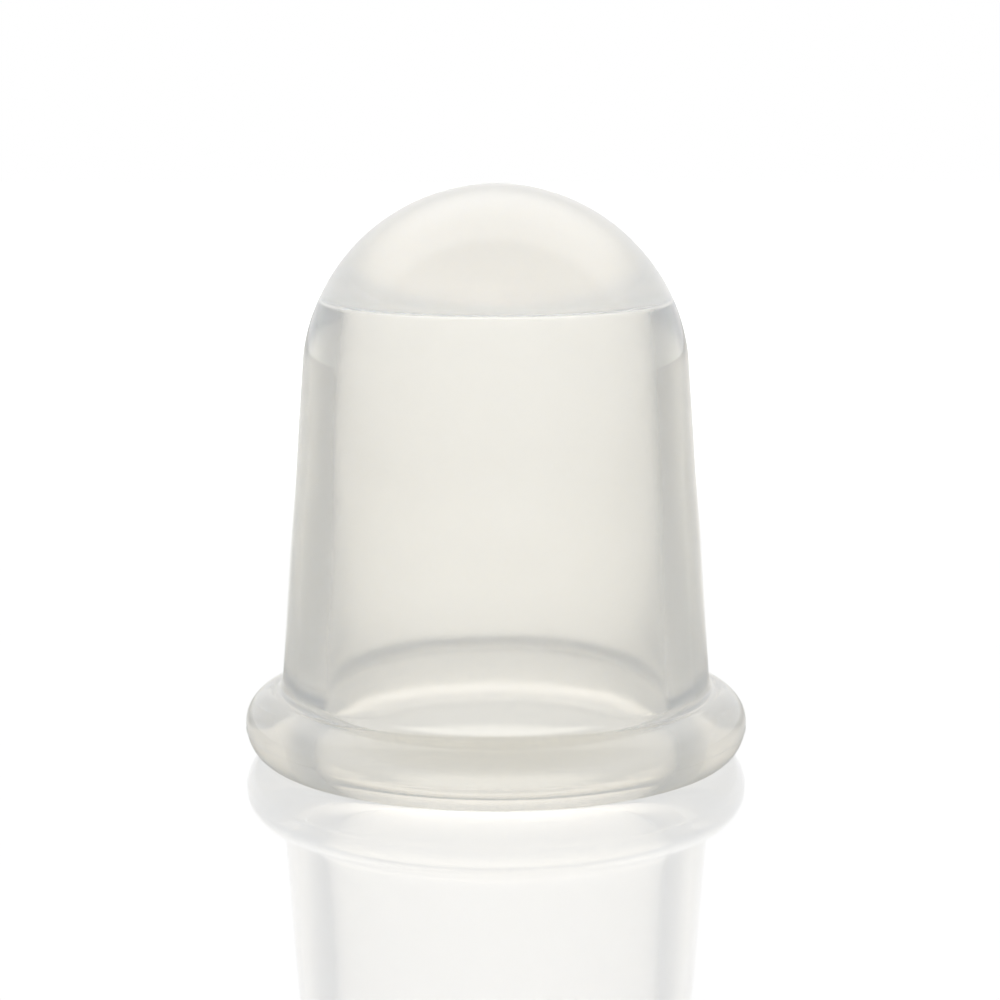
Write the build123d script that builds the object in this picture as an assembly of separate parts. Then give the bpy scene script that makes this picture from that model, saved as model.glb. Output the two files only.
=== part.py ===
"""Silicone cupping cup: one bell-shaped silicone moulding, cut into its working zones.

Frame: +Z is the cup's axis and points to the crown. The origin is the centre of the flat
underside of the lip, on which the cup stands or seals on skin. X runs through the two
places where the cup is gripped, and Y runs through its front and rear. Lengths are in
millimetres.

The real cup is a single moulding. Each zone is its own solid here, so that the two gripped
walls can travel inwards: lip bead, front wall, rear wall, left and right grip wall, dome.
"""

import os
from math import acos, cos, degrees, radians, sin, tan

from build123d import *

# Lip bead: a rounded rim with a flat sealing ring underneath
LIP_RADIUS = 27.5
LIP_EQUATOR_Z = 3.74
LIP_FACE_OUTER_RADIUS = 24.83
LIP_FACE_INNER_RADIUS = 21.3
LIP_CREASE_Z = 7.2

# Outer wall: a cone that narrows towards the shoulder
WALL_TOP_RADIUS = 20.85
WALL_TOP_Z = 43.43
WALL_DRAFT = radians(4.16)

# Shoulder and crown: two arcs that run smoothly out of the wall
SHOULDER_ARC_RADIUS = 12.74
CROWN_ARC_RADIUS = 21.0

# Cavity: a steeper cone, a tight corner and a barely domed ceiling under a solid crown
CAVITY_MOUTH_RADIUS = 19.08
CAVITY_DRAFT = radians(2.51)
CAVITY_CORNER_RADIUS = 0.7
CEILING_Z = 50.0
CEILING_ARC_RADIUS = 150.0

# Grip walls: the two strips of wall that thumb and finger push in
GRIP_WIDTH = 22.0
SLIT_WIDTH = 0.1

# Side of the blocks that cut the zones apart, larger than the whole cup
CUTTER_SIZE = 200.0


def polar(centre, radius, angle):
    """Point at an angle on a circle in the (radius, height) plane."""
    return (centre[0] + radius * cos(angle), centre[1] + radius * sin(angle))


def arc(centre, radius, start, end):
    """Arc about a centre between two angles in radians."""
    return CenterArc(centre, radius, degrees(start), degrees(end - start))


def bead_quarter(centre_radius, edge_radius, height, start_degrees):
    """Quarter of an ellipse about a point at the height of the lip's equator."""
    return EllipticalCenterArc(
        center=(centre_radius, LIP_EQUATOR_Z),
        x_radius=abs(edge_radius - centre_radius),
        y_radius=height,
        start_angle=start_degrees,
        arc_size=90,
    )


def outer_edges():
    """Outer outline, from the lip's flat face up to the crown."""
    shoulder = (
        WALL_TOP_RADIUS - SHOULDER_ARC_RADIUS * cos(WALL_DRAFT),
        WALL_TOP_Z - SHOULDER_ARC_RADIUS * sin(WALL_DRAFT),
    )
    meeting = acos(shoulder[0] / (CROWN_ARC_RADIUS - SHOULDER_ARC_RADIUS))
    crown = (0, shoulder[1] - shoulder[0] * tan(meeting))
    crease_radius = WALL_TOP_RADIUS + (WALL_TOP_Z - LIP_CREASE_Z) * tan(WALL_DRAFT)
    return [
        bead_quarter(LIP_FACE_OUTER_RADIUS, LIP_RADIUS, LIP_EQUATOR_Z, 270),
        bead_quarter(crease_radius, LIP_RADIUS, LIP_CREASE_Z - LIP_EQUATOR_Z, 0),
        Line((crease_radius, LIP_CREASE_Z), (WALL_TOP_RADIUS, WALL_TOP_Z)),
        arc(shoulder, SHOULDER_ARC_RADIUS, WALL_DRAFT, meeting),
        arc(crown, CROWN_ARC_RADIUS, meeting, radians(90)),
    ]


def cavity_edges():
    """Cavity outline, from the lip's flat face up to the ceiling."""
    ceiling = (0, CEILING_Z - CEILING_ARC_RADIUS)
    reach = CEILING_ARC_RADIUS - CAVITY_CORNER_RADIUS
    # The corner arc touches both the cavity's cone and the ceiling arc. Its centre is the
    # corner radius inside the cone, and the reach away from the ceiling arc's centre.
    offset = (
        CAVITY_MOUTH_RADIUS * cos(CAVITY_DRAFT)
        - (ceiling[1] - LIP_EQUATOR_Z) * sin(CAVITY_DRAFT)
        - CAVITY_CORNER_RADIUS
    )
    meeting = CAVITY_DRAFT + acos(offset / reach)
    corner = polar(ceiling, reach, meeting)
    cone_top = polar(corner, CAVITY_CORNER_RADIUS, CAVITY_DRAFT)
    return [
        bead_quarter(LIP_FACE_INNER_RADIUS, CAVITY_MOUTH_RADIUS, LIP_EQUATOR_Z, 180),
        Line((CAVITY_MOUTH_RADIUS, LIP_EQUATOR_Z), cone_top),
        arc(corner, CAVITY_CORNER_RADIUS, CAVITY_DRAFT, meeting),
        arc(ceiling, CEILING_ARC_RADIUS, meeting, radians(90)),
    ]


def whole_cup():
    """The moulding in one piece: its section turned about the cup's axis."""
    outer = outer_edges()
    cavity = cavity_edges()
    lip_face = Line((LIP_FACE_INNER_RADIUS, 0), (LIP_FACE_OUTER_RADIUS, 0))
    axis_line = Line(cavity[-1] @ 1, outer[-1] @ 1)
    section = make_face(outer + cavity + [lip_face, axis_line])
    return revolve(Plane.XZ * section, Axis.Z)


def block(x_range, y_range, z_range):
    """Block between limits, where None runs on past the cup."""
    limits = []
    for low, high in (x_range, y_range, z_range):
        low = -CUTTER_SIZE / 2 if low is None else low
        high = CUTTER_SIZE / 2 if high is None else high
        limits.append((low, high))
    sizes = [high - low for low, high in limits]
    middle = [(high + low) / 2 for low, high in limits]
    return Pos(*middle) * Box(*sizes)


def zones():
    """Every zone of the cup by name."""
    cup = whole_cup()
    everywhere = (None, None)
    wall_height = (LIP_CREASE_Z, WALL_TOP_Z)
    grip_height = (LIP_CREASE_Z + SLIT_WIDTH, WALL_TOP_Z - SLIT_WIDTH)
    grip_edge = GRIP_WIDTH / 2
    grip_span = (-grip_edge, grip_edge)
    wall_edge = grip_edge + SLIT_WIDTH
    return {
        "lip_bead": cup & block(everywhere, everywhere, (None, LIP_CREASE_Z)),
        "front_wall": cup & block(everywhere, (None, -wall_edge), wall_height),
        "rear_wall": cup & block(everywhere, (wall_edge, None), wall_height),
        "left_grip_wall": cup & block((None, 0), grip_span, grip_height),
        "right_grip_wall": cup & block((0, None), grip_span, grip_height),
        "dome": cup & block(everywhere, everywhere, (WALL_TOP_Z, None)),
    }


os.makedirs("parts", exist_ok=True)
for name, zone in zones().items():
    export_step(zone, f"parts/{name}.step")
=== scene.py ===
import math

import bpy
import numpy as np
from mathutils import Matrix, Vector, noise


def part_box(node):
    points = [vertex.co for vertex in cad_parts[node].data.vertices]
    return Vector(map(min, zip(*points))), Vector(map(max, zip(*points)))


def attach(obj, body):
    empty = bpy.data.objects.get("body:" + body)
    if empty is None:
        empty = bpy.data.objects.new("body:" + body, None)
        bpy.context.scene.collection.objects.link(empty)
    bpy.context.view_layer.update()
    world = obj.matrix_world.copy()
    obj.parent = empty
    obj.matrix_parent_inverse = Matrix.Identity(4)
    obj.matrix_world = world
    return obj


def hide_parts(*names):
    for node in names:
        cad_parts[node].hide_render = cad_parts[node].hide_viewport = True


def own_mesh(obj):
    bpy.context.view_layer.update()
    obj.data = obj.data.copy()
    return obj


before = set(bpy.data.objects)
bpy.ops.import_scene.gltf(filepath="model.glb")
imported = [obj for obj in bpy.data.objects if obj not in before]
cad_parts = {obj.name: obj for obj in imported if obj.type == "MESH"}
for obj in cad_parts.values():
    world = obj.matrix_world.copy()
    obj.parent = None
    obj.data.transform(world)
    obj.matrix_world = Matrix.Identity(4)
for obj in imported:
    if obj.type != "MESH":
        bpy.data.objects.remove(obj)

# A translucent silicone cupping cup on a glossy white table. The whole cup is one seamless
# moulding, so one piece stands for all the CAD zones. Lengths are metres, angles radians.

# ---- Sizes that come from the CAD frame ----
LIP_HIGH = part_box("lip_bead")[1]
DOME_LOW, DOME_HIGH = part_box("dome")
LIP_RADIUS = LIP_HIGH.x
CREASE_Z = LIP_HIGH.z
WALL_TOP_RADIUS = DOME_HIGH.x
WALL_TOP_Z = DOME_LOW.z
CROWN_Z = DOME_HIGH.z

# ---- Outer skin, as in the CAD model ----
EQUATOR_Z = 0.00374
FACE_OUTER_RADIUS = 0.02483
FACE_INNER_RADIUS = 0.0213
WALL_DRAFT = math.radians(4.16)
SHOULDER_ARC = 0.01274
CROWN_ARC = 0.021
CREASE_FILLET = 0.001

# ---- Cavity, as in the CAD model ----
MOUTH_RADIUS = 0.01908
CAVITY_DRAFT = math.radians(2.51)
CORNER_ARC = 0.0007
CEILING_Z = 0.05
CEILING_ARC = 0.15

# ---- Moulding marks ----
PARTING_Z = 0.003
PARTING_HEIGHT = 0.00006
PARTING_WIDTH = 0.0001
WAVE_HEIGHT = 0.00006
WAVE_LENGTH = 0.009
WAVE_START_RADIUS = 0.0045

# ---- Points in each stretch of the outline, and steps round the axis ----
LONG_STEPS = 44
CORNER_STEPS = 14
MOUTH_STEPS = 24
FACE_STEPS = 6
UNDER_STEPS = 64
OVER_STEPS = 36
FILLET_STEPS = 8
SHOULDER_STEPS = 6
SEGMENTS = 240

# ---- Silicone ----
SILICONE_IOR = 1.41
SILICONE_CLEAR = 0.98
SILICONE_PALE = (0.995, 0.995, 0.99, 1.0)
SILICONE_WARM = (0.99, 0.988, 0.98, 1.0)
SILICONE_GLOSS = (0.08, 0.13)
SILICONE_TINT = (0.86, 0.8, 0.4, 1.0)
SILICONE_DENSITY = 1.4
HAZE_COLOUR = (0.8, 0.87, 1.0, 1.0)
HAZE_DENSITY = 80.0
HAZE_FORWARD = 0.6
TINT_SCALE = 60.0
GLOSS_SCALE = 140.0
GRAIN_SCALE = 420.0
GRAIN_STRENGTH = 0.03
GRAIN_HEIGHT = 0.0001
NOISE_RANGE = (0.3, 0.7)

# ---- Stage ----
WHITE = (1.0, 1.0, 1.0, 1.0)

# Brightness against the cosine of the compass angle from +Y, where the back light stands
TABLE_ROUND = (
    (-1.0, 0.95),
    (0.2, 0.72),
    (0.5, 0.52),
    (0.72, 0.54),
    (0.82, 0.7),
    (0.9, 0.89),
    (0.95, 0.96),
    (1.0, 1.0),
)
SKY_ROUND = (
    (-1.0, 0.6),
    (0.0, 0.32),
    (0.5, 0.28),
    (0.7, 0.38),
    (0.8, 0.52),
    (0.87, 0.86),
    (0.92, 1.0),
    (1.0, 1.0),
)
# Brightness of the table's bounce light against the distance from the cup's axis; its dip from 13
# to 35 mm is painted shade under and round the lip
TABLE_LIGHT = (
    (0.001, 1.06),
    (0.009, 1.03),
    (0.013, 0.81),
    (0.019, 0.82),
    (0.024, 0.52),
    (0.029, 0.5),
    (0.035, 0.8),
    (0.045, 0.88),
    (0.057, 0.98),
    (0.08, 1.08),
    (0.13, 1.09),
    (0.2, 1.04),
    (0.36, 1.06),
    (0.665, 0.88),
    (1.5, 0.6),
    (2.5, 0.5),
)
# Brightness of the studio against the sine of the angle above the horizon
SKY_LIGHT = (
    (-0.2, 0.55),
    (0.0, 0.72),
    (0.02, 1.4),
    (0.045, 1.56),
    (0.14, 1.54),
    (0.2, 1.34),
    (0.3, 1.0),
    (0.4, 1.0),
    (0.6, 1.5),
    (0.85, 2.6),
    (1.0, 2.6),
)
SKY_EVEN = (0.35, 0.7)
TABLE_EVEN = (0.027, 0.06)
FRONT_SHADE = (0.82, 0.8, 0.735, 1.0)
FRONT_SHADE_SPAN = (-0.016, -0.006)
TABLE_WARMTH = (1.0, 0.993, 0.95, 1.0)
SKY_WARMTH = (1.0, 0.998, 0.985, 1.0)
TABLE_GLOW = (0.48, 1.0)
TABLE_GLOW_SPAN = (0.14, 0.25)
TABLE_MIRROR = 0.53
TABLE_GLOSS = (0.03, 0.06)
TABLE_GLOSS_SCALE = 12.0
# Height and forward edge of the soft box on the backdrop, and the backdrop's brightness
SOFTBOX_HEIGHT = (1.6, 3.2)
SOFTBOX_EDGE = (-0.1, 0.5)
SOFTBOX_LIGHT = (1.0, 2.3)
TABLE_SIZE = 4.0
BACKDROP_RADIUS = 4.0
TABLE_GAP = 0.00002

# ---- Camera ----
CAMERA_DISTANCE = 0.26942
CAMERA_HEIGHT = 0.07044
CAMERA_PITCH = 0.1527
SENSOR = 36.0
LENS = 90.12
SHIFT = (0.004, -0.01065)

# ---- Light paths ----
LIGHT_BOUNCES = 24
VOLUME_BOUNCES = 12


def arc(centre, radius, start, end, count):
    """Points (radius, height) along an arc, without its first point."""
    angles = np.linspace(start, end, count + 1)[1:]
    if np.isscalar(radius):
        radius = (radius, radius)
    return np.c_[centre[0] + radius[0] * np.cos(angles), centre[1] + radius[1] * np.sin(angles)]


def line(start, end, count):
    """Points along a straight line, without its first point."""
    steps = np.linspace(0, 1, count + 1)[1:, None]
    return np.array(start) * (1 - steps) + np.array(end) * steps


def cavity_outline():
    """Cavity section, from the ceiling's middle down to the mouth."""
    ceiling = (0, CEILING_Z - CEILING_ARC)
    reach = CEILING_ARC - CORNER_ARC
    offset = (
        MOUTH_RADIUS * math.cos(CAVITY_DRAFT)
        - (ceiling[1] - EQUATOR_Z) * math.sin(CAVITY_DRAFT)
        - CORNER_ARC
    )
    meeting = CAVITY_DRAFT + math.acos(offset / reach)
    corner = (reach * math.cos(meeting), ceiling[1] + reach * math.sin(meeting))
    ceiling_arc = arc(ceiling, CEILING_ARC, math.pi / 2, meeting, LONG_STEPS)
    corner_arc = arc(corner, CORNER_ARC, meeting, CAVITY_DRAFT, CORNER_STEPS)
    side = line(corner_arc[-1], (MOUTH_RADIUS, EQUATOR_Z), LONG_STEPS)
    return [ceiling_arc, corner_arc, side]


def lip_outline():
    """Lip section, from the mouth round the bead to the crease under the wall."""
    crease_radius = WALL_TOP_RADIUS + (WALL_TOP_Z - CREASE_Z) * math.tan(WALL_DRAFT)
    mouth = arc(
        (FACE_INNER_RADIUS, EQUATOR_Z),
        (FACE_INNER_RADIUS - MOUTH_RADIUS, EQUATOR_Z),
        math.pi,
        math.pi * 1.5,
        MOUTH_STEPS,
    )
    face = line((FACE_INNER_RADIUS, 0), (FACE_OUTER_RADIUS, 0), FACE_STEPS)
    under = arc(
        (FACE_OUTER_RADIUS, EQUATOR_Z),
        (LIP_RADIUS - FACE_OUTER_RADIUS, EQUATOR_Z),
        -math.pi / 2,
        0,
        UNDER_STEPS,
    )
    reach = LIP_RADIUS - crease_radius
    fillet_start = math.acos(CREASE_FILLET / reach)
    bead = (reach, CREASE_Z - EQUATOR_Z)
    over = arc((crease_radius, EQUATOR_Z), bead, 0, fillet_start, OVER_STEPS)
    fillet_centre = (crease_radius + CREASE_FILLET, over[-1][1] + CREASE_FILLET)
    fillet_end = -math.pi + WALL_DRAFT
    fillet = arc(fillet_centre, CREASE_FILLET, -math.pi / 2, fillet_end, FILLET_STEPS)
    return [mouth, face, under, over, fillet]


def skin_outline(start):
    """Outer section, from the crease up to the crown's middle."""
    shoulder = (
        WALL_TOP_RADIUS - SHOULDER_ARC * math.cos(WALL_DRAFT),
        WALL_TOP_Z - SHOULDER_ARC * math.sin(WALL_DRAFT),
    )
    meeting = math.acos(shoulder[0] / (CROWN_ARC - SHOULDER_ARC))
    crown = (0, CROWN_Z - CROWN_ARC)
    return [
        line(start, (WALL_TOP_RADIUS, WALL_TOP_Z), LONG_STEPS),
        arc(shoulder, SHOULDER_ARC, WALL_DRAFT, meeting, SHOULDER_STEPS),
        arc(crown, CROWN_ARC, meeting, math.pi / 2, LONG_STEPS),
    ]


def cup_outline():
    """The whole section of the moulding, from the ceiling's middle to the crown's middle."""
    cavity = cavity_outline()
    lip = lip_outline()
    skin = skin_outline(lip[-1][-1])
    points = np.vstack([[(0, CEILING_Z)], *cavity, *lip, *skin])
    points[-1][0] = 0
    on_bead = points[:, 0] > FACE_OUTER_RADIUS
    ridge = PARTING_HEIGHT * np.exp(-(((points[:, 1] - PARTING_Z) / PARTING_WIDTH) ** 2))
    points[on_bead, 0] += (ridge - PARTING_HEIGHT)[on_bead]
    return points


def turned_mesh(name, outline):
    """Closed mesh of an outline turned about Z, with one vertex at each end on the axis."""
    angles = np.arange(SEGMENTS) * 2 * math.pi / SEGMENTS
    vertices = [(0, 0, outline[0][1])]
    for radius, height in outline[1:-1]:
        vertices += [(radius * math.cos(a), radius * math.sin(a), height) for a in angles]
    vertices.append((0, 0, outline[-1][1]))
    rings = len(outline) - 2
    last = len(vertices) - 1
    faces = []
    for j in range(SEGMENTS):
        k = (j + 1) % SEGMENTS
        faces.append((0, 1 + k, 1 + j))
        for ring in range(rings - 1):
            low = 1 + ring * SEGMENTS
            high = low + SEGMENTS
            faces.append((low + j, low + k, high + k, high + j))
        top = 1 + (rings - 1) * SEGMENTS
        faces.append((top + j, top + k, last))
    mesh = bpy.data.meshes.new(name)
    mesh.from_pydata(vertices, [], faces)
    mesh.validate()
    mesh.shade_smooth()
    return mesh


def add_waves(mesh):
    """Slight unevenness of a soft moulding, none of it outside the CAD model's outer skin."""
    for vertex in mesh.vertices:
        height = noise.noise(vertex.co / WAVE_LENGTH) * WAVE_HEIGHT - WAVE_HEIGHT
        outward = Vector((vertex.co.x, vertex.co.y, 0))
        if outward.length > WAVE_START_RADIUS and vertex.co.z > CREASE_Z:
            vertex.co += outward.normalized() * height


def add_node(tree, kind, **values):
    """New shader node, with input sockets set by name (spaces as underscores)."""
    node = tree.nodes.new(kind)
    for socket, value in values.items():
        node.inputs[socket.replace("_", " ")].default_value = value
    return node


def empty_material(name):
    """New material with an empty node tree and its output node."""
    material = bpy.data.materials.new(name)
    material.use_nodes = True
    tree = material.node_tree
    tree.nodes.clear()
    return material, tree, tree.nodes.new("ShaderNodeOutputMaterial")


def noise_between(tree, scale, target, detail=2.0):
    """Noise in object space, mapped from its middle range to the target range."""
    coordinates = tree.nodes.new("ShaderNodeTexCoord")
    texture = add_node(tree, "ShaderNodeTexNoise", Scale=scale, Detail=detail)
    tree.links.new(coordinates.outputs["Object"], texture.inputs["Vector"])
    return map_node(tree, texture.outputs["Fac"], NOISE_RANGE, target, False)


def silicone_material():
    """Slightly milky silicone, bluish at its edges, warm where light comes through it."""
    material, tree, output = empty_material("translucent silicone")
    surface = add_node(
        tree,
        "ShaderNodeBsdfPrincipled",
        IOR=SILICONE_IOR,
        Transmission_Weight=SILICONE_CLEAR,
    )
    patches = noise_between(tree, TINT_SCALE, (0.0, 1.0))
    colour = mix_node(tree, patches, SILICONE_PALE, SILICONE_WARM)
    tree.links.new(colour, surface.inputs["Base Color"])
    roughness = noise_between(tree, GLOSS_SCALE, SILICONE_GLOSS, 4.0)
    tree.links.new(roughness, surface.inputs["Roughness"])
    bump = add_node(tree, "ShaderNodeBump", Strength=GRAIN_STRENGTH, Distance=GRAIN_HEIGHT)
    tree.links.new(noise_between(tree, GRAIN_SCALE, (0.0, 1.0), 3.0), bump.inputs["Height"])
    tree.links.new(bump.outputs["Normal"], surface.inputs["Normal"])
    absorption = add_node(
        tree, "ShaderNodeVolumeAbsorption", Color=SILICONE_TINT, Density=SILICONE_DENSITY
    )
    scatter = add_node(
        tree,
        "ShaderNodeVolumeScatter",
        Color=HAZE_COLOUR,
        Density=HAZE_DENSITY,
        Anisotropy=HAZE_FORWARD,
    )
    inside = tree.nodes.new("ShaderNodeAddShader")
    tree.links.new(absorption.outputs["Volume"], inside.inputs[0])
    tree.links.new(scatter.outputs["Volume"], inside.inputs[1])
    tree.links.new(surface.outputs["BSDF"], output.inputs["Surface"])
    tree.links.new(inside.outputs["Shader"], output.inputs["Volume"])
    return material


def ramp_node(tree, value, stops, low, high):
    """Value mapped through (position, brightness) stops that lie between low and high."""
    ramp = tree.nodes.new("ShaderNodeValToRGB")
    tree.links.new(map_node(tree, value, (low, high), smooth=False), ramp.inputs["Fac"])
    elements = ramp.color_ramp.elements
    for index, (position, grey) in enumerate(stops):
        place = (position - low) / (high - low)
        element = elements[index] if index < 2 else elements.new(place)
        element.position = place
        element.color = (grey, grey, grey, 1.0)
    return ramp.outputs["Color"]


def map_node(tree, value, source, target=(0.0, 1.0), smooth=True):
    """Value mapped from one range to another, clamped at both ends."""
    node = tree.nodes.new("ShaderNodeMapRange")
    node.interpolation_type = "SMOOTHSTEP" if smooth else "LINEAR"
    node.inputs["From Min"].default_value = source[0]
    node.inputs["From Max"].default_value = source[1]
    node.inputs["To Min"].default_value = target[0]
    node.inputs["To Max"].default_value = target[1]
    tree.links.new(value, node.inputs["Value"])
    return node.outputs["Result"]


def plug(tree, value, socket):
    """Sets a socket to a number or colour, or links it to another node's output."""
    if isinstance(value, (float, tuple)):
        socket.default_value = value
    else:
        tree.links.new(value, socket)


def math_node(tree, operation, first, second):
    """Result of a math node on two values."""
    node = tree.nodes.new("ShaderNodeMath")
    node.operation = operation
    plug(tree, first, node.inputs[0])
    plug(tree, second, node.inputs[1])
    return node.outputs["Value"]


def mix_node(tree, factor, first, second, blend="MIX"):
    """Two colours mixed, or blended in another way."""
    node = tree.nodes.new("ShaderNodeMix")
    node.data_type = "RGBA"
    node.blend_type = blend
    plug(tree, factor, node.inputs["Factor"])
    plug(tree, first, node.inputs["A"])
    plug(tree, second, node.inputs["B"])
    return node.outputs["Result"]


def tinted(tree, colours):
    """Product of several colours."""
    product = colours[0]
    for colour in colours[1:]:
        product = mix_node(tree, 1.0, product, colour, "MULTIPLY")
    return product


def compass(tree, vector):
    """Cosine of a vector's compass angle from +Y, its level length and its height."""
    axes = tree.nodes.new("ShaderNodeSeparateXYZ")
    tree.links.new(vector, axes.inputs["Vector"])
    flat = tree.nodes.new("ShaderNodeCombineXYZ")
    tree.links.new(axes.outputs["X"], flat.inputs["X"])
    tree.links.new(axes.outputs["Y"], flat.inputs["Y"])
    length = tree.nodes.new("ShaderNodeVectorMath")
    length.operation = "LENGTH"
    tree.links.new(flat.outputs["Vector"], length.inputs[0])
    level = length.outputs["Value"]
    return math_node(tree, "DIVIDE", axes.outputs["Y"], level), level, axes.outputs["Z"]


def table_material():
    """White gloss table top: an even white with a clear mirror image in it."""
    material, tree, output = empty_material("white gloss table")
    geometry = tree.nodes.new("ShaderNodeNewGeometry")
    distance = compass(tree, geometry.outputs["Position"])[1]
    glow = map_node(tree, distance, TABLE_GLOW_SPAN, TABLE_GLOW)
    white = tree.nodes.new("ShaderNodeEmission")
    tree.links.new(glow, white.inputs["Strength"])
    gloss = add_node(tree, "ShaderNodeBsdfGlossy", Color=(TABLE_MIRROR,) * 3 + (1.0,))
    tree.links.new(noise_between(tree, TABLE_GLOSS_SCALE, TABLE_GLOSS), gloss.inputs["Roughness"])
    both = tree.nodes.new("ShaderNodeAddShader")
    tree.links.new(white.outputs["Emission"], both.inputs[0])
    tree.links.new(gloss.outputs["BSDF"], both.inputs[1])
    tree.links.new(both.outputs["Shader"], output.inputs["Surface"])
    return material


def bounce_material():
    """Warm light that the table sends up into the cup, with soft shade close to the lip."""
    material, tree, output = empty_material("table bounce light")
    geometry = tree.nodes.new("ShaderNodeNewGeometry")
    cosine, distance, _ = compass(tree, geometry.outputs["Position"])
    decades = math_node(tree, "LOGARITHM", distance, 10.0)
    stops = [(math.log10(place), grey) for place, grey in TABLE_LIGHT]
    outward = ramp_node(tree, decades, stops, stops[0][0], stops[-1][0])
    sides = ramp_node(tree, cosine, TABLE_ROUND, -1.0, 1.0)
    near = map_node(tree, distance, TABLE_EVEN)
    pattern = mix_node(tree, near, WHITE, sides)
    depth = math_node(tree, "MULTIPLY", cosine, distance)
    front = mix_node(tree, map_node(tree, depth, FRONT_SHADE_SPAN), FRONT_SHADE, WHITE)
    light = tree.nodes.new("ShaderNodeEmission")
    tree.links.new(tinted(tree, (outward, pattern, front, TABLE_WARMTH)), light.inputs["Color"])
    tree.links.new(light.outputs["Emission"], output.inputs["Surface"])
    return material


def backdrop_material():
    """White all round, with a soft box overhead that reaches down behind the cup."""
    material, tree, output = empty_material("white backdrop")
    geometry = tree.nodes.new("ShaderNodeNewGeometry")
    axes = tree.nodes.new("ShaderNodeSeparateXYZ")
    tree.links.new(geometry.outputs["Position"], axes.inputs["Vector"])
    high = map_node(tree, axes.outputs["Z"], SOFTBOX_HEIGHT)
    behind = map_node(tree, axes.outputs["Y"], SOFTBOX_EDGE)
    box = math_node(tree, "MULTIPLY", high, behind)
    light = tree.nodes.new("ShaderNodeEmission")
    tree.links.new(map_node(tree, box, (0.0, 1.0), SOFTBOX_LIGHT, False), light.inputs["Strength"])
    tree.links.new(light.outputs["Emission"], output.inputs["Surface"])
    return material


def make_cup():
    """The whole cup as one closed, seamless moulding."""
    mesh = turned_mesh("silicone_cup", cup_outline())
    add_waves(mesh)
    mesh.materials.append(silicone_material())
    cup = bpy.data.objects.new("silicone_cup", mesh)
    bpy.context.scene.collection.objects.link(cup)
    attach(cup, "cup")
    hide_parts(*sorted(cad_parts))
    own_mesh(cup)
    return cup


def stage_plane(name, height, material):
    """Large level square that belongs to the stage."""
    corner = TABLE_SIZE / 2
    places = [(-corner, -corner), (corner, -corner), (corner, corner), (-corner, corner)]
    mesh = bpy.data.meshes.new(name)
    mesh.from_pydata([(x, y, height) for x, y in places], [], [(0, 1, 2, 3)])
    mesh.materials.append(material)
    plane = bpy.data.objects.new(name, mesh)
    bpy.context.scene.collection.objects.link(plane)
    return plane


def show_to(piece, camera, mirrors, others):
    """Sets whether the camera, mirror images and other light in the scene see a piece."""
    piece.visible_camera = camera
    piece.visible_diffuse = others
    piece.visible_glossy = mirrors
    piece.visible_transmission = others
    piece.visible_volume_scatter = others
    piece.visible_shadow = others


def make_table():
    """Table top that the camera sees, and the bounce light that it gives the cup, with painted
    shade under the lip and in front of it.
    """
    show_to(stage_plane("table", -TABLE_GAP, table_material()), True, False, False)
    show_to(stage_plane("table_bounce", -2 * TABLE_GAP, bounce_material()), False, True, True)


def make_backdrop():
    """White all round, seen by the camera and in mirror images."""
    bpy.ops.mesh.primitive_uv_sphere_add(radius=BACKDROP_RADIUS)
    backdrop = bpy.context.object
    backdrop.name = "backdrop"
    backdrop.data.materials.append(backdrop_material())
    show_to(backdrop, True, True, False)


def make_world():
    """Soft white studio: dim along the horizon, brightest behind and above the cup."""
    world = bpy.data.worlds.new("studio")
    bpy.context.scene.world = world
    world.use_nodes = True
    tree = world.node_tree
    tree.nodes.clear()
    output = tree.nodes.new("ShaderNodeOutputWorld")
    background = tree.nodes.new("ShaderNodeBackground")
    coordinates = tree.nodes.new("ShaderNodeTexCoord")
    cosine, _, height = compass(tree, coordinates.outputs["Generated"])
    upward = ramp_node(tree, height, SKY_LIGHT, SKY_LIGHT[0][0], SKY_LIGHT[-1][0])
    sides = ramp_node(tree, cosine, SKY_ROUND, -1.0, 1.0)
    high = map_node(tree, height, SKY_EVEN)
    pattern = mix_node(tree, high, sides, WHITE)
    tree.links.new(tinted(tree, (upward, pattern, SKY_WARMTH)), background.inputs["Color"])
    tree.links.new(background.outputs["Background"], output.inputs["Surface"])


def make_camera():
    """Camera in front of the cup, a little above it and looking slightly down at it."""
    data = bpy.data.cameras.new("camera")
    data.sensor_width = SENSOR
    data.lens = LENS
    data.shift_x, data.shift_y = SHIFT
    camera = bpy.data.objects.new("camera", data)
    bpy.context.scene.collection.objects.link(camera)
    camera.location = (0, -CAMERA_DISTANCE, CAMERA_HEIGHT)
    camera.rotation_euler = (math.pi / 2 - CAMERA_PITCH, 0, 0)
    bpy.context.scene.camera = camera


def set_light_paths():
    """Enough bounces for light to cross the cup's walls, denoising and plain colours."""
    scene = bpy.context.scene
    scene.view_settings.view_transform = "Standard"
    scene.cycles.use_denoising = True
    scene.cycles.max_bounces = LIGHT_BOUNCES
    scene.cycles.transmission_bounces = LIGHT_BOUNCES
    scene.cycles.volume_bounces = VOLUME_BOUNCES


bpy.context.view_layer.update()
make_camera()
make_cup()
make_table()
make_backdrop()
make_world()
set_light_paths()
